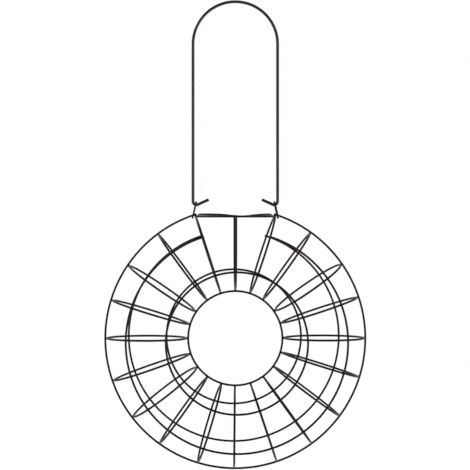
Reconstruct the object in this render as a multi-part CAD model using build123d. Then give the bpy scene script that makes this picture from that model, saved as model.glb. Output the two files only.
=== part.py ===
# Ring-shaped wire feeder for suet balls, hung from a tall arched wire handle.
# X runs across the feeder, Y from its front to its back, and Z up. Lengths are in millimetres.
# The origin is the hang point, against the underside of the handle's crown.
# Hoops are numbered clockwise from the filling throat at the top, as seen from the front.
from build123d import *
import os
from math import asin, cos, degrees, radians, sin

# Wires, and how they are joined.
basket_wire = 2.0
handle_wire = 2.8
link_wire = 1.8
weld_sink = 0.1  # how deep two crossing wires press into each other at a weld
weld_overhang = 1.5  # from the last weld to the cut end of a ring
end_round_share = 0.3  # rounding of a cut end, of the wire's radius

# The basket: hoops side by side round a circle make a tube that is closed in a ring.
hoop_count = 20
hoop_radius = 37.6
tube_radius = 84.4  # from the middle of the ring to the middle of each hoop
side_ring_angle = 62.0  # round each hoop, from the plane of the ring to a side ring's weld
inner_side_drop = 1.6  # how far the two inner side rings hang below the middle of the basket
outer_side_drop = 1.1  # and the two outer ones
throat_overhang = 0.6  # from the mouth ring's middle to the top of the throat's two legs

# Each hoop is welded by hand a little off its even place. From the throat on, these are how
# far round the ring it sits, and how far it is turned about its own spoke of the ring. The
# throat itself is turned and not moved.
most_shift = 1.75
most_turn = 3.0
hoop_shift_shares = [
    0, 0, -0.3, 0.6, -0.3, -0.1, -0.4, 0.3, 0, -0.3,
    0.3, -0.6, -0.1, -0.8, -0.6, 0, -0.5, -1.0, -0.3, 0,
]
hoop_turn_shares = [
    -0.4, -0.3, -0.7, 0.2, -0.9, -0.6, -0.8, -0.2, -0.2, 0.1,
    0.8, 0.2, 0.8, -0.1, 0.8, 0.6, 0.5, -0.4, -0.3, 0,
]

# The handle: a round crown, two long legs, and an open hook turned in at the foot of each.
leg_spacing = 80.6
hook_drop = 192.2  # from the hang point down to the lowest place on a hook's centre line
hook_radius = 3.2
hook_rise = 24.3  # slope of a hook's free end
hook_tip = 11.5

# The two links that carry the basket on the hooks.
link_length = 17.4
link_width = 9.5
link_clearance = 0.4  # between a link and the wires that run through it
link_gap = 3.4  # along the outer ring, from the first hoop's middle to a link

# Places on the basket, measured from the middle of the ring.
hoop_pitch = 360 / hoop_count
weld_pitch = basket_wire - weld_sink
outer_ring_radius = tube_radius + hoop_radius + weld_pitch
inner_ring_radius = tube_radius - hoop_radius - weld_pitch
side_reach = (hoop_radius + weld_pitch) * cos(radians(side_ring_angle))
side_depth = (hoop_radius + weld_pitch) * sin(radians(side_ring_angle))
inner_side_radius = tube_radius - side_reach
outer_side_radius = tube_radius + side_reach
inner_side_lean = degrees(asin(inner_side_drop * side_reach / side_depth / inner_side_radius))
outer_side_lean = -degrees(asin(outer_side_drop * side_reach / side_depth / outer_side_radius))
mouth_height = (tube_radius + hoop_radius) * cos(radians(hoop_pitch))
mouth_radius = (tube_radius + hoop_radius) * sin(radians(hoop_pitch)) - weld_pitch
throat_radius = mouth_radius + weld_pitch
throat_middle = tube_radius - hoop_radius + throat_radius

# Places on the handle and the links, measured from the hang point. A link hangs from the bend
# of its hook, square to it, and its foot lies straight inside the outer ring's wire.
leg_half = leg_spacing / 2
bend_offset = leg_half - hook_radius
bend_level = hook_radius - hook_drop
link_span = link_length - link_wire
link_angle = hoop_pitch + degrees(link_gap / outer_ring_radius)
foot_radius = outer_ring_radius - (basket_wire + link_wire) / 2 - link_clearance
top_radius = hook_radius - (handle_wire + link_wire) / 2 - link_clearance
foot_offset = foot_radius * sin(radians(link_angle))
link_lean = asin((foot_offset - bend_offset) / (link_span + top_radius))
foot_level = bend_level - (link_span + top_radius) * cos(link_lean)
ring_drop = foot_radius * cos(radians(link_angle)) - foot_level


def wire_along(path, diameter):
    """A round wire whose centre line is the path."""
    section = Plane(origin=path @ 0, z_dir=path % 0) * Circle(diameter / 2)
    return sweep(section, path)


def round_ends(wire, diameter):
    """Take the sharp edge off both cut ends of a wire."""
    ends = wire.faces().filter_by(GeomType.PLANE)
    return fillet(ends.edges(), end_round_share * diameter / 2)


def place_on_basket(shape, angle):
    """Carry a shape made at the top of a ring about the origin round to its angle on the basket."""
    return Pos(0, 0, -ring_drop) * Rot(0, angle, 0) * shape


def closed_ring(radius):
    """A full ring of basket wire that stands about the origin."""
    return Rot(90, 0, 0) * Torus(radius, basket_wire / 2)


def open_ring(radius):
    """The same ring left open over the throat, cut just past the hoop on each side of it."""
    gap = hoop_pitch - degrees(weld_overhang / radius)
    start = Plane(origin=(0, 0, radius), x_dir=(0, 1, 0), z_dir=(1, 0, 0))
    arc = revolve(start * Circle(basket_wire / 2), Axis.Y, 360 - 2 * gap)
    return Rot(0, gap, 0) * round_ends(arc, basket_wire)


def set_beside(ring, side, drop, lean):
    """Set a ring that stands about the origin on the hoops' front (side -1) or back (side 1). It
    hangs a little low there, and leans so that it still lies against every hoop."""
    return Pos(0, side * side_depth, -ring_drop - drop) * Rot(side * lean, 0, 0) * ring


def hoop(number):
    """One closed hoop of the tube, where its welds hold it."""
    turn = hoop_turn_shares[number % len(hoop_turn_shares)] * most_turn
    shift = hoop_shift_shares[number % len(hoop_shift_shares)] * most_shift
    ring = Rot(0, 0, turn) * Rot(0, 90, 0) * Torus(hoop_radius, basket_wire / 2)
    return place_on_basket(Pos(0, 0, tube_radius) * ring, number * hoop_pitch + shift)


def throat_hoop():
    """The hoop under the filling mouth: a half round with two straight legs up to the mouth."""
    top = mouth_height + throat_overhang
    bend = CenterArc((0, throat_middle), throat_radius, 180, 180)
    front = Line((-throat_radius, top), bend @ 0)
    back = Line(bend @ 1, (throat_radius, top))
    path = Plane.YZ * Wire([front, bend, back])
    turned = Rot(0, 0, hoop_turn_shares[0] * most_turn) * wire_along(path, basket_wire)
    return place_on_basket(round_ends(turned, basket_wire), 0)


def mouth_ring():
    """The level ring that the balls drop through, welded to two hoops and the throat's legs."""
    return place_on_basket(Pos(0, 0, mouth_height) * Torus(mouth_radius, basket_wire / 2), 0)


def handle():
    """The hanging handle, bent from one length of wire from hook tip to hook tip."""
    crown_level = handle_wire / 2 - leg_half
    slope = radians(hook_rise)
    bend = CenterArc((bend_offset, bend_level), hook_radius, -90 - hook_rise, 90 + hook_rise)
    tip = Line(bend @ 0 + hook_tip * Vector(-cos(slope), sin(slope)), bend @ 0)
    leg = Line(bend @ 1, (leg_half, crown_level))
    crown = CenterArc((0, crown_level), leg_half, 0, 180)
    right = [tip, bend, leg]
    left = [mirror(edge, Plane.YZ).edge() for edge in right]
    path = Plane.XZ * Wire([*right, crown, *left])
    return round_ends(wire_along(path, handle_wire), handle_wire)


def link(side):
    """One closed oval link, from its hook down round the outer ring. The left side is -1."""
    half_width = (link_width - link_wire) / 2
    half_straight = (link_length - link_width) / 2
    back = Line((half_width, -half_straight), (half_width, half_straight))
    top = CenterArc((0, half_straight), half_width, 0, 180)
    front = Line((-half_width, half_straight), (-half_width, -half_straight))
    bottom = CenterArc((0, -half_straight), half_width, 180, 180)
    oval = wire_along(Plane.YZ * Wire([back, top, front, bottom]), link_wire)
    foot = Pos(side * foot_offset, 0, foot_level)
    lean = Rot(0, -side * degrees(link_lean), 0)
    return foot * lean * Pos(0, 0, link_span / 2) * oval


nodes = {
    "handle": handle(),
    "left_link": link(-1),
    "right_link": link(1),
    "mouth_ring": mouth_ring(),
    "throat_hoop": throat_hoop(),
    "inner_ring": place_on_basket(closed_ring(inner_ring_radius), 0),
    "outer_ring": place_on_basket(open_ring(outer_ring_radius), 0),
}
for side, place in ((-1, "front"), (1, "back")):
    inner = closed_ring(inner_side_radius)
    outer = open_ring(outer_side_radius)
    nodes[f"{place}_inner_side_ring"] = set_beside(inner, side, inner_side_drop, inner_side_lean)
    nodes[f"{place}_outer_side_ring"] = set_beside(outer, side, outer_side_drop, outer_side_lean)
for number in range(1, hoop_count):
    nodes[f"hoop_{number:02d}"] = hoop(number)

os.makedirs("parts", exist_ok=True)
for name, shape in nodes.items():
    export_step(shape, f"parts/{name}.step")
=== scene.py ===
import math

import bpy
import numpy as np
from bpy.props import FloatProperty, FloatVectorProperty, IntProperty, PointerProperty
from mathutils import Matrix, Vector


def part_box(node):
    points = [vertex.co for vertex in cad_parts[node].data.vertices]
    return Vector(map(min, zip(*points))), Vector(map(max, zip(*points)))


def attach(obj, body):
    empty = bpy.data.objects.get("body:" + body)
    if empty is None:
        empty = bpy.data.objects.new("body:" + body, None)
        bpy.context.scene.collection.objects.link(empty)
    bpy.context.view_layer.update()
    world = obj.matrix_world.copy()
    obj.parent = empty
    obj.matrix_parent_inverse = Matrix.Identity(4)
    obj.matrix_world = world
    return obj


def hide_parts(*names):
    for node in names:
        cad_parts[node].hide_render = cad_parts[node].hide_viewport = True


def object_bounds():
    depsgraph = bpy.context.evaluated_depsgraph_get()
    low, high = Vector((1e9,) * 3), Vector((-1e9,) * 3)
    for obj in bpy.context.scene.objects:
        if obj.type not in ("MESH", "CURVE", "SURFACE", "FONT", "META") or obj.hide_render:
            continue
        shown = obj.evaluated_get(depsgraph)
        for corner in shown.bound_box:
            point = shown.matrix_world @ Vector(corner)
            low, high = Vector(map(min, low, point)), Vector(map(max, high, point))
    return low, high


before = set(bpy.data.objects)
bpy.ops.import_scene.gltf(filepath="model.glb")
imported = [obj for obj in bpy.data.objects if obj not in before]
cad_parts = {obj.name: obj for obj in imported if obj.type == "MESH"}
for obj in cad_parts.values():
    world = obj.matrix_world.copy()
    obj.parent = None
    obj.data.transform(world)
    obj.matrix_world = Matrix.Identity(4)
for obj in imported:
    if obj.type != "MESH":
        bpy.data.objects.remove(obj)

bl_info = {
    "name": "Ring Wire Feeder",
    "version": (1, 0, 0),
    "blender": (4, 5, 0),
    "location": "3D View > Sidebar > Feeder",
    "description": "Coats, welds and lights a hanging ring of wire hoops for suet balls",
    "category": "Add Mesh",
}

MM = 0.001
CAD_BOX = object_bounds()
HOOPS = sorted(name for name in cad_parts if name.startswith("hoop_"))
FULL_RINGS = ("inner_ring", "front_inner_side_ring", "back_inner_side_ring")
OPEN_RINGS = ("outer_ring", "front_outer_side_ring", "back_outer_side_ring")
LINKS = ("left_link", "right_link")
UP = np.array([0.0, 0.0, 1.0])
WHITE = (1.0, 1.0, 1.0, 1.0)

# A weld bead's reach along the wires, and half its height from wire to wire, of the wire's diameter.
BEAD_REACH_SHARE = 0.68
BEAD_HEIGHT_SHARE = 0.36


# What the solids measure

def size_along_y(name):
    """How deep a node is, which for a wire that lies flat in the ring's plane is its diameter."""
    low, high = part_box(name)
    return high.y - low.y


def corners_of(name):
    """Every vertex of a node, one a row."""
    return np.array([v.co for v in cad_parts[name].data.vertices])


def across_plane(name):
    """The way square to the plane that a bent wire lies in, towards the back, the right or the top."""
    points = corners_of(name)
    points = points - points.mean(axis=0)
    normal = np.linalg.eigh(points.T @ points)[1][:, 0]
    return normal * np.sign(normal.sum())


BASKET_WIRE = size_along_y("inner_ring")


def ring_circle(name):
    """Middle, normal and radius of a ring that stands in the basket, also where it is open on top."""
    low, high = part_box(name)
    radius = (high.x - low.x - BASKET_WIRE) / 2
    middle = np.array([(low.x + high.x) / 2, (low.y + high.y) / 2, low.z + BASKET_WIRE / 2 + radius])
    return middle, across_plane(name), radius


def mouth_circle():
    """Middle, normal and radius of the level mouth ring."""
    low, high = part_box("mouth_ring")
    return np.array((low + high) / 2), UP, (high.x - low.x - BASKET_WIRE) / 2


BASKET_CENTRE = Vector(ring_circle("inner_ring")[0])


def arc_points(middle, radius, first, second, start, end, step):
    """Points on an arc from the angle start to end. 0 is towards first, and a quarter turn is second."""
    angles = np.arange(start, end, step)[:, None]
    return middle + radius * (np.cos(angles) * np.array(first) + np.sin(angles) * np.array(second))


def hoop_path(name, step):
    """Points on the centre line of a hoop, all the way round."""
    low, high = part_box(name)
    middle = (low + high) / 2
    spoke = (middle - BASKET_CENTRE).normalized()
    across = Vector(across_plane(name)).cross(spoke).normalized()
    radius = (corners_of(name) - np.array(middle)).dot(np.array(spoke)).max() - BASKET_WIRE / 2
    return arc_points(np.array(middle), radius, spoke, across, 0, 2 * math.pi, step)


def throat_paths(step):
    """The same for the front and the back half of the throat, each from the bottom up to the mouth."""
    low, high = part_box("throat_hoop")
    across = Vector(across_plane("throat_hoop")).cross(Vector(UP)).normalized()
    middle = np.array([BASKET_CENTRE.x, 0.0, 0.0])
    radius = (corners_of("throat_hoop") - middle).dot(np.array(across)).max() - BASKET_WIRE / 2
    middle[2] = low.z + BASKET_WIRE / 2 + radius
    halves = []
    for side in (-1, 1):
        out = side * np.sign(across.y) * np.array(across)
        bend = arc_points(middle, radius, -UP, out, 0, math.pi / 2, step)
        height = np.arange(0, high.z - middle[2], radius * step)[:, None]
        leg = middle + radius * out + height * UP
        halves.append(np.vstack([bend, leg]))
    return halves


def weld_between(path, circle):
    """Where a path comes nearest to a ring: the middle of the weld, the way to the ring, and the way
    that the path runs there."""
    middle, normal, radius = circle
    flat = path - middle
    flat = flat - np.outer(flat @ normal, normal)
    on_ring = middle + radius * flat / np.linalg.norm(flat, axis=1)[:, None]
    place = int(np.argmin(np.linalg.norm(path - on_ring, axis=1)))
    run = Vector(path[(place + 1) % len(path)] - path[place - 1]).normalized()
    way = Vector(on_ring[place] - path[place]).normalized()
    return Vector((path[place] + on_ring[place]) / 2), way, run


# Node trees

def put(tree, kind, values=None, **settings):
    """Add a node with its settings. A value that is a socket is linked to its input, and any other
    is set on it."""
    made = tree.nodes.new(kind)
    for name, value in settings.items():
        setattr(made, name, value)
    for key, value in (values or {}).items():
        if isinstance(value, bpy.types.NodeSocket):
            tree.links.new(value, made.inputs[key])
        else:
            made.inputs[key].default_value = value
    return made


def new_geometry_tree(name, inputs):
    """An empty geometry tree with its geometry in and out and the named inputs."""
    tree = bpy.data.node_groups.new(name, "GeometryNodeTree")
    tree.interface.new_socket("Geometry", in_out="INPUT", socket_type="NodeSocketGeometry")
    for label, kind in inputs:
        tree.interface.new_socket(label, in_out="INPUT", socket_type=kind)
    tree.interface.new_socket("Geometry", in_out="OUTPUT", socket_type="NodeSocketGeometry")
    return tree, put(tree, "NodeGroupInput")


def end_tree(tree, geometry, material):
    """Close a tree: real geometry, smooth, in its material."""
    real = put(tree, "GeometryNodeRealizeInstances", {"Geometry": geometry})
    smooth = put(tree, "GeometryNodeSetShadeSmooth", {"Geometry": real.outputs["Geometry"]})
    dressed = put(tree, "GeometryNodeSetMaterial",
                  {"Geometry": smooth.outputs["Geometry"], "Material": material})
    put(tree, "NodeGroupOutput", {"Geometry": dressed.outputs["Geometry"]})


def wire_tree():
    """A round wire along a closed path."""
    tree, given = new_geometry_tree("wire_along_path", [
        ("Diameter", "NodeSocketFloat"), ("Sides", "NodeSocketInt"), ("Material", "NodeSocketMaterial")])
    path = put(tree, "GeometryNodeMeshToCurve", {"Mesh": given.outputs["Geometry"]})
    half = put(tree, "ShaderNodeMath", {0: given.outputs["Diameter"], 1: 2.0}, operation="DIVIDE")
    section = put(tree, "GeometryNodeCurvePrimitiveCircle",
                  {"Resolution": given.outputs["Sides"], "Radius": half.outputs[0]})
    tube = put(tree, "GeometryNodeCurveToMesh",
               {"Curve": path.outputs["Curve"], "Profile Curve": section.outputs["Curve"]})
    end_tree(tree, tube.outputs["Mesh"], given.outputs["Material"])
    return tree


def bead_tree():
    """A weld bead on every point: a low uneven lump, flat towards the two wires that it joins."""
    tree, given = new_geometry_tree("weld_beads", [
        ("Radius", "NodeSocketFloat"), ("Height", "NodeSocketFloat"), ("Unevenness", "NodeSocketFloat"),
        ("Fineness", "NodeSocketInt"), ("Seed", "NodeSocketInt"), ("Material", "NodeSocketMaterial")])
    radius, height = given.outputs["Radius"], given.outputs["Height"]
    lump = put(tree, "GeometryNodeMeshIcoSphere",
               {"Radius": 1.0, "Subdivisions": given.outputs["Fineness"]})
    contact = put(tree, "GeometryNodeInputNamedAttribute", {"Name": "contact"}, data_type="FLOAT_VECTOR")
    along = put(tree, "GeometryNodeInputNamedAttribute", {"Name": "along"}, data_type="FLOAT_VECTOR")
    upright = put(tree, "FunctionNodeAlignRotationToVector",
                  {"Vector": contact.outputs["Attribute"]}, axis="Z")
    turned = put(tree, "FunctionNodeAlignRotationToVector",
                 {"Rotation": upright.outputs["Rotation"], "Vector": along.outputs["Attribute"]},
                 axis="X", pivot_axis="Z")
    flat = put(tree, "ShaderNodeCombineXYZ", {"X": radius, "Y": radius, "Z": height})
    least = put(tree, "ShaderNodeMath", {0: 1.0, 1: given.outputs["Unevenness"]}, operation="SUBTRACT")
    most = put(tree, "ShaderNodeMath", {0: 1.0, 1: given.outputs["Unevenness"]}, operation="ADD")
    low_corner = put(tree, "ShaderNodeCombineXYZ", {key: least.outputs[0] for key in "XYZ"})
    high_corner = put(tree, "ShaderNodeCombineXYZ", {key: most.outputs[0] for key in "XYZ"})
    chance = put(tree, "FunctionNodeRandomValue",
                 {0: low_corner.outputs[0], 1: high_corner.outputs[0], "Seed": given.outputs["Seed"]},
                 data_type="FLOAT_VECTOR")
    sized = put(tree, "ShaderNodeVectorMath", {0: flat.outputs[0], 1: chance.outputs[0]},
                operation="MULTIPLY")
    beads = put(tree, "GeometryNodeInstanceOnPoints", {
        "Points": given.outputs["Geometry"], "Instance": lump.outputs["Mesh"],
        "Rotation": turned.outputs["Rotation"], "Scale": sized.outputs[0]})
    end_tree(tree, beads.outputs["Instances"], given.outputs["Material"])
    return tree


def grow(name, points, edges, attributes, tree, values):
    """Run a geometry tree on a bare path or on points with named vectors, and keep its result as a
    plain mesh."""
    seed = bpy.data.meshes.new(name)
    seed.from_pydata([tuple(p) for p in points], edges, [])
    for label, vectors in attributes:
        stored = seed.attributes.new(label, "FLOAT_VECTOR", "POINT")
        stored.data.foreach_set("vector", np.array(vectors, np.float32).ravel())
    piece = bpy.data.objects.new(name, seed)
    bpy.context.scene.collection.objects.link(piece)
    modifier = piece.modifiers.new(tree.name, "NODES")
    modifier.node_group = tree
    for item in tree.interface.items_tree:
        if item.in_out == "INPUT" and item.name in values:
            modifier[item.identifier] = values[item.name]
    bpy.context.view_layer.update()
    ready = piece.evaluated_get(bpy.context.evaluated_depsgraph_get())
    made = bpy.data.meshes.new_from_object(ready)
    piece.modifiers.remove(modifier)
    piece.data = made
    made.name = name
    bpy.data.meshes.remove(seed)
    return piece


# Finishes

# Places of a Mix node's colour sockets, because its sockets for other kinds bear the same names.
MIX_SHARE, MIX_FIRST, MIX_SECOND, MIX_RESULT = 0, 6, 7, 2

# How many finer layers each noise of the coating has, and how strong they are in the grain.
CLOUD_DETAIL = 3.0
SPECK_DETAIL = 2.0
PEEL_DETAIL = 2.0
PEEL_DETAIL_STRENGTH = 0.4


def blend_colour(tree, share, first, second):
    """Mix two colours, each a socket or a value, by a share."""
    mix = put(tree, "ShaderNodeMix", {MIX_SHARE: share, MIX_FIRST: first, MIX_SECOND: second},
              data_type="RGBA")
    return mix.outputs[MIX_RESULT]


def between(tree, share, low, high, start=0.0, end=1.0):
    """From low to high as the share goes from start to end. Each is a socket or a value."""
    mapped = put(tree, "ShaderNodeMapRange",
                 {"Value": share, "From Min": start, "From Max": end, "To Min": low, "To Max": high})
    return mapped.outputs["Result"]


def fade(tree, value, near, far):
    """1 where the value is at or under near, and 0 where it is at or over far."""
    faded = put(tree, "ShaderNodeMapRange",
                {"Value": value, "From Min": near, "From Max": far, "To Min": 1.0, "To Max": 0.0},
                interpolation_type="SMOOTHSTEP")
    return faded.outputs["Result"]


def noise(tree, place, scale, detail, detail_strength=0.5):
    """Cloudy noise of a given scale, in cycles a metre, with finer layers of a given strength."""
    made = put(tree, "ShaderNodeTexNoise",
               {"Vector": place, "Scale": scale, "Detail": detail, "Roughness": detail_strength})
    return made.outputs["Fac"]


def coated_wire(name, colour, reflectance, settings):
    """Satin coating over drawn steel wire: patches that differ in gloss too, specks and a fine grain."""
    material = bpy.data.materials.new(name)
    material.use_nodes = True
    tree = material.node_tree
    tree.nodes.clear()
    place = put(tree, "ShaderNodeTexCoord").outputs["Object"]
    cloud = noise(tree, place, settings.cloud_scale, CLOUD_DETAIL)
    speck = noise(tree, place, settings.speck_scale, SPECK_DETAIL)
    peel = noise(tree, place, settings.peel_scale, PEEL_DETAIL, PEEL_DETAIL_STRENGTH)
    dark = [c * settings.dark_share for c in colour] + [1.0]
    light = [c * settings.light_share for c in colour] + [1.0]
    pale = [c * settings.speck_share for c in colour] + [1.0]
    speckled = fade(tree, speck, settings.speck_full, settings.speck_none)
    coat = blend_colour(tree, speckled, blend_colour(tree, cloud, dark, light), pale)
    roughness = between(tree, cloud, settings.least_roughness, settings.most_roughness)
    bump = put(tree, "ShaderNodeBump",
               {"Strength": settings.peel_strength, "Distance": settings.peel_depth, "Height": peel})
    shader = put(tree, "ShaderNodeBsdfPrincipled", {
        "Base Color": coat, "Roughness": roughness, "Specular IOR Level": reflectance,
        "Specular Tint": [*settings.sheen_tint, 1.0], "Normal": bump.outputs["Normal"]})
    put(tree, "ShaderNodeOutputMaterial", {"Surface": shader.outputs["BSDF"]})
    return material


def dress(name, material):
    """Give a solid that is carried over as it is its finish."""
    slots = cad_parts[name].data.materials
    slots.clear()
    slots.append(material)


# Paths and points

def wavy_ring(centre, radius, lift, count):
    """A level ring that its welds have bent. lift(turn) is its height there, and turn is 0 on the
    right and a quarter turn at the back."""
    points = []
    for step in range(count):
        turn = 2 * math.pi * step / count
        points.append(centre + Vector((radius * math.cos(turn), radius * math.sin(turn), lift(turn))))
    edges = [(step, (step + 1) % count) for step in range(count)]
    return points, edges


def all_welds(step):
    """Every crossing of two wires of the basket, each as weld_between gives it."""
    full = [ring_circle(name) for name in FULL_RINGS]
    rings = full + [ring_circle(name) for name in OPEN_RINGS]
    mouth = mouth_circle()
    front, back = throat_paths(step)
    throat = np.vstack([front[::-1], back[1:]])
    beside_mouth = (front, back, hoop_path(HOOPS[0], step), hoop_path(HOOPS[-1], step))
    welds = [weld_between(throat, ring) for ring in full]
    welds += [weld_between(path, mouth) for path in beside_mouth]
    for name in HOOPS:
        path = hoop_path(name, step)
        welds += [weld_between(path, ring) for ring in rings]
    return welds


# Settings that a user would change

class WireSettings(bpy.types.PropertyGroup):
    """Colours and gloss of the coating, shared by every wire."""

    basket_colour: FloatVectorProperty(
        name="Basket colour", description="Coating of the hoops and rings",
        default=(0.0115, 0.0056, 0.0042), subtype="COLOR", min=0.0, max=1.0)
    handle_colour: FloatVectorProperty(
        name="Handle colour", description="Coating of the handle",
        default=(0.0065, 0.0034, 0.0026), subtype="COLOR", min=0.0, max=1.0)
    link_colour: FloatVectorProperty(
        name="Link colour", description="Coating of the two small links",
        default=(0.0110, 0.0058, 0.0045), subtype="COLOR", min=0.0, max=1.0)
    sheen_tint: FloatVectorProperty(
        name="Sheen tint", description="Colour of what the coating reflects",
        default=(1.0, 0.82, 0.75), subtype="COLOR", min=0.0, max=1.0)
    dark_share: FloatProperty(
        name="Dark share", description="Darkest patches of the coating, as a share of its colour",
        default=0.7, min=0.0, max=1.0)
    light_share: FloatProperty(
        name="Light share", description="Palest patches of the coating, as a share of its colour",
        default=1.3, min=1.0, max=4.0)
    cloud_scale: FloatProperty(
        name="Patch scale", description="Patches in the coating, in cycles a metre",
        default=90.0, min=1.0)
    speck_scale: FloatProperty(
        name="Speck scale", description="Specks in the coating, in cycles a metre",
        default=700.0, min=1.0)
    speck_full: FloatProperty(
        name="Speck core", description="Noise value under which a speck is at its palest",
        default=0.30, min=0.0, max=1.0)
    speck_none: FloatProperty(
        name="Speck edge", description="Noise value over which there is no speck",
        default=0.42, min=0.0, max=1.0)
    speck_share: FloatProperty(
        name="Speck share", description="Specks in the coating, as a multiple of its colour",
        default=1.5, min=0.0, max=10.0)
    peel_scale: FloatProperty(
        name="Peel scale", description="Grain of the dried coating, in cycles a metre",
        default=1600.0, min=1.0)
    peel_strength: FloatProperty(
        name="Peel strength", description="How strongly the grain of the coating shows",
        default=0.1, min=0.0, max=1.0)
    peel_depth: FloatProperty(
        name="Peel depth", description="Depth of the grain of the coating",
        default=0.00006, min=0.0, unit="LENGTH", precision=6)
    least_roughness: FloatProperty(
        name="Least roughness", description="Roughness of the glossiest patches",
        default=0.30, min=0.0, max=1.0)
    most_roughness: FloatProperty(
        name="Most roughness", description="Roughness of the dullest patches",
        default=0.52, min=0.0, max=1.0)
    basket_reflectance: FloatProperty(
        name="Basket reflectance", description="Strength of the basket coating's own reflection",
        default=0.14, min=0.0, max=1.0)
    handle_reflectance: FloatProperty(
        name="Handle reflectance", description="Strength of the handle coating's own reflection",
        default=0.55, min=0.0, max=1.0)
    link_reflectance: FloatProperty(
        name="Link reflectance", description="Strength of the link coating's own reflection",
        default=0.25, min=0.0, max=1.0)


class MouthSettings(bpy.types.PropertyGroup):
    """How far the welds have bent the mouth ring."""

    bow: FloatProperty(
        name="Bow", description="How far the ring rises between its welds, on its back",
        default=2.0 * MM, unit="LENGTH", precision=5)
    rise: FloatProperty(
        name="Rise", description="How far round from each side the back has reached its full height",
        default=math.radians(22), min=0.01, subtype="ANGLE")
    weld_turn: FloatProperty(
        name="Weld turn", description="How far round the dip is, from the right over the back",
        default=math.radians(78), subtype="ANGLE")
    dip: FloatProperty(
        name="Dip", description="How wide the dip at the weld is",
        default=math.radians(24), min=0.01, subtype="ANGLE")
    steps: IntProperty(
        name="Steps", description="Points along the ring's path", default=160, min=24)
    sides: IntProperty(
        name="Sides", description="Flat sides round the ring's wire", default=20, min=6, max=64)


class WeldSettings(bpy.types.PropertyGroup):
    """The bead at each crossing of two wires."""

    radius: FloatProperty(
        name="Bead radius", description="Reach of a bead along the wires",
        default=BEAD_REACH_SHARE * BASKET_WIRE, min=0.0, unit="LENGTH", precision=5)
    height: FloatProperty(
        name="Bead height", description="Half the height of a bead, from wire to wire",
        default=BEAD_HEIGHT_SHARE * BASKET_WIRE, min=0.0, unit="LENGTH", precision=5)
    unevenness: FloatProperty(
        name="Unevenness", description="How much the beads differ in size",
        default=0.18, min=0.0, max=0.6)
    fineness: IntProperty(
        name="Fineness", description="How many times a bead's facets are divided",
        default=2, min=1, max=4)
    seed: IntProperty(name="Seed", description="Which set of uneven beads", default=7, min=0)
    step: FloatProperty(
        name="Step", description="How finely a hoop is searched for its crossings",
        default=math.radians(0.1), min=0.0001, subtype="ANGLE")


class StageSettings(bpy.types.PropertyGroup):
    """Camera, lamps and floor."""

    photo_width: FloatProperty(
        name="Photo width", description="Width and height of the photograph in pixels",
        default=470.0, min=1.0)
    ring_x: FloatProperty(
        name="Ring X", description="Pixel column of the middle of the ring", default=235.3)
    ring_y: FloatProperty(
        name="Ring Y", description="Pixel row of the middle of the ring", default=338.2)
    eye_x: FloatProperty(
        name="Eye X", description="Pixel column straight in front of the lens", default=180.5)
    eye_y: FloatProperty(
        name="Eye Y", description="Pixel row straight in front of the lens", default=215.5)
    ring_pixels: FloatProperty(
        name="Ring size", description="Radius of the outer ring in pixels",
        default=130.0, min=1.0)
    distance: FloatProperty(
        name="Distance", description="From the lens to the plane of the ring",
        default=1.21, min=0.2, unit="LENGTH")
    sensor: FloatProperty(
        name="Sensor", description="Width of the camera's sensor in millimetres",
        default=36.0, min=1.0)
    floor_drop: FloatProperty(
        name="Floor drop", description="How far under the feeder the floor is",
        default=0.9, min=0.0, unit="LENGTH")
    floor_size: FloatProperty(
        name="Floor size", description="Width of the floor", default=16.0, min=1.0, unit="LENGTH")
    floor_white: FloatProperty(
        name="Floor white", description="How pale the floor is", default=0.8, min=0.0, max=1.0)
    floor_lift: FloatProperty(
        name="Floor lift", description="What is added to the floor as it is seen", default=0.77, min=0.0)
    lamp_distance: FloatProperty(
        name="Lamp distance", description="From the middle of the feeder to each lamp, level with it",
        default=1.2, min=0.3, unit="LENGTH")
    strip_width: FloatProperty(
        name="Strip width", description="Width of the two tall lamps",
        default=0.12, min=0.01, unit="LENGTH")
    strip_height: FloatProperty(
        name="Strip height", description="Height of the two tall lamps",
        default=1.1, min=0.01, unit="LENGTH")
    left_bearing: FloatProperty(
        name="Left bearing", description="Way to the left strip, from straight behind the camera",
        default=math.radians(-62), subtype="ANGLE")
    left_radiance: FloatProperty(
        name="Left radiance", description="Brightness of the left strip as it is seen",
        default=18.0, min=0.0)
    right_bearing: FloatProperty(
        name="Right bearing", description="Way to the right strip, from straight behind the camera",
        default=math.radians(55), subtype="ANGLE")
    right_radiance: FloatProperty(
        name="Right radiance", description="Brightness of the right strip as it is seen",
        default=23.0, min=0.0)
    rim_bearing: FloatProperty(
        name="Rim bearing", description="Way to the lamp behind the feeder",
        default=math.radians(-130), subtype="ANGLE")
    rim_rise: FloatProperty(
        name="Rim rise", description="Height of that lamp, as a share of its distance", default=0.75)
    rim_size: FloatProperty(
        name="Rim size", description="Width of that lamp", default=0.45, min=0.01, unit="LENGTH")
    rim_radiance: FloatProperty(
        name="Rim radiance", description="Brightness of that lamp as it is seen", default=14.0, min=0.0)
    world_light: FloatProperty(
        name="World light", description="Strength of the light from all round", default=0.32, min=0.0)
    room_light: FloatProperty(
        name="Room light", description="What a wire shows of the room behind the camera",
        default=0.05, min=0.0, max=1.0)
    room_edge: FloatProperty(
        name="Room edge", description="Where the room's darkness ends, as the Y of the way towards it",
        default=0.2, min=-1.0, max=1.0)
    backdrop_edge: FloatProperty(
        name="Backdrop edge", description="Where the white begins, as the Y of the way towards it",
        default=0.95, min=-1.0, max=1.0)


# Operators

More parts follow.
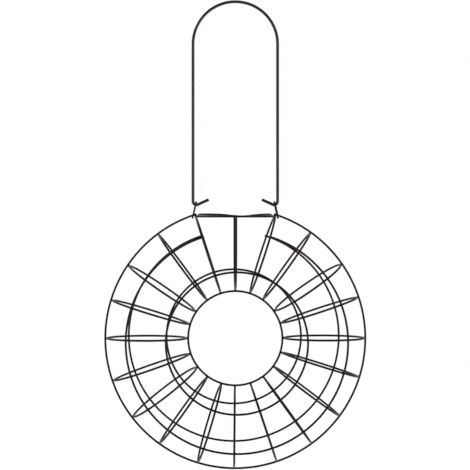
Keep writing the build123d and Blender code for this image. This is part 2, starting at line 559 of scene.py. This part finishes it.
class FEEDER_OT_coat_basket(bpy.types.Operator):
    """Coat the hoops, the rings and the throat of the basket"""

    bl_idname = "feeder.coat_basket"
    bl_label = "Coat basket"

    def execute(self, context):
        settings = context.scene.feeder_wires
        coat = coated_wire(
            "basket_coating", settings.basket_colour, settings.basket_reflectance, settings)
        for name in (*HOOPS, *FULL_RINGS, *OPEN_RINGS, "throat_hoop"):
            dress(name, coat)
        return {"FINISHED"}


class FEEDER_OT_coat_handle(bpy.types.Operator):
    """Coat the handle"""

    bl_idname = "feeder.coat_handle"
    bl_label = "Coat handle"

    def execute(self, context):
        settings = context.scene.feeder_wires
        coat = coated_wire(
            "handle_coating", settings.handle_colour, settings.handle_reflectance, settings)
        dress("handle", coat)
        return {"FINISHED"}


class FEEDER_OT_coat_links(bpy.types.Operator):
    """Coat the two links"""

    bl_idname = "feeder.coat_links"
    bl_label = "Coat links"

    def execute(self, context):
        settings = context.scene.feeder_wires
        coat = coated_wire("link_coating", settings.link_colour, settings.link_reflectance, settings)
        for name in LINKS:
            dress(name, coat)
        return {"FINISHED"}


class FEEDER_OT_bend_mouth(bpy.types.Operator):
    """Make the mouth ring, bent a little by its welds"""

    bl_idname = "feeder.bend_mouth"
    bl_label = "Bend mouth ring"

    def execute(self, context):
        settings = context.scene.feeder_mouth
        centre, _, radius = mouth_circle()

        def lift(turn):
            """The back rises from both ends, and dips where it is welded to the throat's back leg."""
            rise = min(1.0, max(0.0, math.sin(turn)) / math.sin(settings.rise))
            dip = math.exp(-((turn - settings.weld_turn) / settings.dip) ** 2)
            return settings.bow * math.sin(math.pi / 2 * rise) ** 2 * (1 - dip)

        points, edges = wavy_ring(Vector(centre), radius, lift, settings.steps)
        material = bpy.data.materials["basket_coating"]
        values = {"Diameter": BASKET_WIRE, "Sides": settings.sides, "Material": material}
        ring = grow("bent_mouth_ring", points, edges, [], wire_tree(), values)
        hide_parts("mouth_ring")
        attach(ring, "basket")
        return {"FINISHED"}


class FEEDER_OT_weld_basket(bpy.types.Operator):
    """Put a weld bead at every crossing of two wires"""

    bl_idname = "feeder.weld_basket"
    bl_label = "Weld basket"

    def execute(self, context):
        settings = context.scene.feeder_welds
        points, contacts, runs = zip(*all_welds(settings.step))
        material = bpy.data.materials["basket_coating"]
        attributes = [("contact", contacts), ("along", runs)]
        values = {"Radius": settings.radius, "Height": settings.height,
                  "Unevenness": settings.unevenness, "Fineness": settings.fineness,
                  "Seed": settings.seed, "Material": material}
        beads = grow("weld_beads", points, [], attributes, bead_tree(), values)
        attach(beads, "basket")
        return {"FINISHED"}


def area_lamp(name, target, way, distance, size, radiance):
    """A soft lamp that stands a way off the target and points at it. No camera sees the lamp itself."""
    light = bpy.data.lights.new(name, "AREA")
    light.shape = "RECTANGLE"
    light.size, light.size_y = size
    light.energy = radiance * math.pi * size[0] * size[1]
    lamp = bpy.data.objects.new(name, light)
    lamp.location = target + distance * way
    lamp.rotation_euler = (-way).to_track_quat("-Z", "Y").to_euler()
    lamp.visible_camera = False
    bpy.context.scene.collection.objects.link(lamp)


def way_at(bearing, rise):
    """A level way at a bearing from straight behind the camera, of length 1, and its rise on top."""
    return Vector((math.sin(bearing), -math.cos(bearing), rise))


def seen_ray(tree):
    """1 for rays from the camera, a gloss or a clear body, and 0 for light on a matt surface."""
    rays = put(tree, "ShaderNodeLightPath").outputs
    seen = rays["Is Camera Ray"]
    for other in ("Is Glossy Ray", "Is Transmission Ray"):
        seen = put(tree, "ShaderNodeMath", {0: seen, 1: rays[other]}, operation="MAXIMUM").outputs[0]
    return seen


class FEEDER_OT_light_stage(bpy.types.Operator):
    """Add the floor, the lamps, the white surroundings and the camera"""

    bl_idname = "feeder.light_stage"
    bl_label = "Light stage"

    def execute(self, context):
        scene = context.scene
        settings = scene.feeder_stage
        self.add_floor(settings)
        self.add_world(scene, settings)
        self.add_lamps(settings)
        self.add_camera(scene, settings)
        scene.view_settings.view_transform = "Standard"
        return {"FINISHED"}

    def add_floor(self, settings):
        """A pale floor, which glows as much as it takes to look as white as the surroundings."""
        half = settings.floor_size / 2
        level = CAD_BOX[0].z - settings.floor_drop
        mesh = bpy.data.meshes.new("floor")
        corners = [(x * half, y * half, level) for x, y in ((-1, -1), (1, -1), (1, 1), (-1, 1))]
        mesh.from_pydata(corners, [], [range(len(corners))])
        floor = bpy.data.objects.new("floor", mesh)
        bpy.context.scene.collection.objects.link(floor)
        material = bpy.data.materials.new("floor_paper")
        material.use_nodes = True
        tree = material.node_tree
        tree.nodes.clear()
        pale = (settings.floor_white, settings.floor_white, settings.floor_white, 1.0)
        paper = put(tree, "ShaderNodeBsdfDiffuse", {"Color": pale})
        lift = between(tree, seen_ray(tree), 0.0, settings.floor_lift)
        glow = put(tree, "ShaderNodeEmission", {"Color": WHITE, "Strength": lift})
        both = put(tree, "ShaderNodeAddShader", {0: paper.outputs[0], 1: glow.outputs[0]})
        put(tree, "ShaderNodeOutputMaterial", {"Surface": both.outputs[0]})
        mesh.materials.append(material)

    def add_world(self, scene, settings):
        """White to the camera. The wires reflect white from behind them and a darker room in front."""
        world = bpy.data.worlds.new("surroundings")
        world.use_nodes = True
        tree = world.node_tree
        tree.nodes.clear()
        place = put(tree, "ShaderNodeTexCoord").outputs["Generated"]
        way = put(tree, "ShaderNodeSeparateXYZ", {"Vector": place})
        room = between(tree, way.outputs["Y"], settings.room_light, 1.0,
                       settings.room_edge, settings.backdrop_edge)
        light_or_room = between(tree, seen_ray(tree), settings.world_light, room)
        camera_ray = put(tree, "ShaderNodeLightPath").outputs["Is Camera Ray"]
        strength = between(tree, camera_ray, light_or_room, 1.0)
        light = put(tree, "ShaderNodeBackground", {"Color": WHITE, "Strength": strength})
        put(tree, "ShaderNodeOutputWorld", {"Surface": light.outputs[0]})
        scene.world = world

    def add_lamps(self, settings):
        """Two tall strips beside the camera, and a square lamp behind the upper left of the feeder."""
        middle = (CAD_BOX[0] + CAD_BOX[1]) / 2
        strip = (settings.strip_width, settings.strip_height)
        square = (settings.rim_size, settings.rim_size)
        area_lamp("left_strip", middle, way_at(settings.left_bearing, 0), settings.lamp_distance,
                  strip, settings.left_radiance)
        area_lamp("right_strip", middle, way_at(settings.right_bearing, 0), settings.lamp_distance,
                  strip, settings.right_radiance)
        area_lamp("rim_lamp", middle, way_at(settings.rim_bearing, settings.rim_rise),
                  settings.lamp_distance, square, settings.rim_radiance)

    def add_camera(self, scene, settings):
        """A level camera that faces the ring squarely, shifted to frame it as photographed."""
        pixel = ring_circle("outer_ring")[2] / settings.ring_pixels
        centre = settings.photo_width / 2
        data = bpy.data.cameras.new("photo_camera")
        data.sensor_width = settings.sensor
        data.lens = settings.sensor * settings.distance / (pixel * settings.photo_width)
        data.shift_x = (centre - settings.eye_x) / settings.photo_width
        data.shift_y = (settings.eye_y - centre) / settings.photo_width
        camera = bpy.data.objects.new("photo_camera", data)
        camera.location = (BASKET_CENTRE.x + (settings.eye_x - settings.ring_x) * pixel,
                           BASKET_CENTRE.y - settings.distance,
                           BASKET_CENTRE.z + (settings.ring_y - settings.eye_y) * pixel)
        camera.rotation_euler = (math.pi / 2, 0, 0)
        scene.collection.objects.link(camera)
        scene.camera = camera


OPERATORS = (
    FEEDER_OT_coat_basket, FEEDER_OT_coat_handle, FEEDER_OT_coat_links,
    FEEDER_OT_bend_mouth, FEEDER_OT_weld_basket, FEEDER_OT_light_stage,
)
SETTINGS = {
    "feeder_wires": WireSettings, "feeder_mouth": MouthSettings,
    "feeder_welds": WeldSettings, "feeder_stage": StageSettings,
}


class FEEDER_PT_sidebar(bpy.types.Panel):
    """Settings and steps of the feeder"""

    bl_idname = "FEEDER_PT_sidebar"
    bl_label = "Ring Wire Feeder"
    bl_space_type = "VIEW_3D"
    bl_region_type = "UI"
    bl_category = "Feeder"

    def draw(self, context):
        """A box for each group of settings, and then a button for each step."""
        for name, group in SETTINGS.items():
            box = self.layout.box()
            for prop in group.__annotations__:
                box.prop(getattr(context.scene, name), prop)
        for operator in OPERATORS:
            self.layout.operator(operator.bl_idname)


def register():
    """Add the settings, the steps and the sidebar."""
    for name, group in SETTINGS.items():
        bpy.utils.register_class(group)
        setattr(bpy.types.Scene, name, PointerProperty(type=group))
    for operator in OPERATORS:
        bpy.utils.register_class(operator)
    bpy.utils.register_class(FEEDER_PT_sidebar)


def unregister():
    """Take them away again, in the opposite order."""
    bpy.utils.unregister_class(FEEDER_PT_sidebar)
    for operator in reversed(OPERATORS):
        bpy.utils.unregister_class(operator)
    for name, group in reversed(SETTINGS.items()):
        delattr(bpy.types.Scene, name)
        bpy.utils.unregister_class(group)


def main():
    """Dress the feeder step by step."""
    register()
    bpy.ops.feeder.coat_basket()
    bpy.ops.feeder.coat_handle()
    bpy.ops.feeder.coat_links()
    bpy.ops.feeder.bend_mouth()
    bpy.ops.feeder.weld_basket()
    bpy.ops.feeder.light_stage()


if __name__ == "__main__":
    main()
